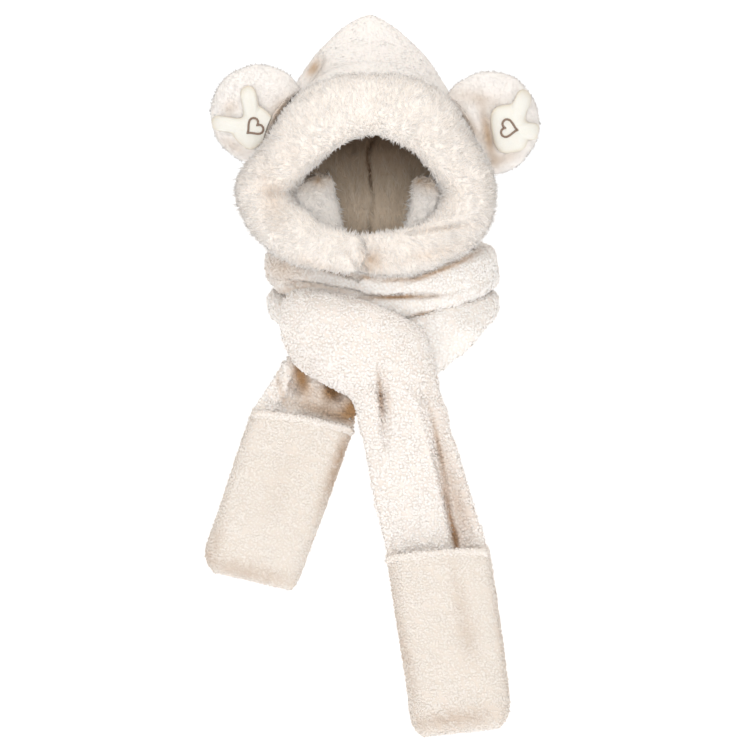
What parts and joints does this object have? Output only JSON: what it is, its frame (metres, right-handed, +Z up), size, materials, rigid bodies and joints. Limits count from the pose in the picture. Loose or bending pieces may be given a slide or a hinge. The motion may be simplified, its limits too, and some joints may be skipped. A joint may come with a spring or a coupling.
{
  "type": "plush hooded scarf with round ears and hand pockets",
  "caption": "Plush hooded scarf: a lined hood with a fluffy rolled brim and round ears with padded patches, a wrapped and knotted scarf, and hand pockets on its ends.",
  "frame": {"origin": "where the crown of a head touches the inside of the hood", "axes": "+Z up, the face opening towards -Y, +X on the right as the front is seen"},
  "size_m": [0.4161, 0.3211, 0.8916],
  "materials": {
    "plush": "short nubby cream plush",
    "brim_fleece": "long fluffy cream fleece",
    "pocket_plush": "short smooth cream plush",
    "lining": "fine grey-beige fleece",
    "patch": "smooth off-white velour with brown stitching"
  },
  "bodies": {
    "root": {"hood_shell": "plush", "hood_lining": "lining", "brim_roll": "brim_fleece", "ear_left": "plush", "ear_patch_left": "patch", "ear_right": "plush", "ear_patch_right": "patch", "neck_wrap": "plush", "scarf_over_strand": "plush", "scarf_under_strand": "plush", "facing_left": "brim_fleece", "facing_right": "brim_fleece", "pocket_left": "pocket_plush", "pocket_right": "pocket_plush"}
  },
  "joints": []
}
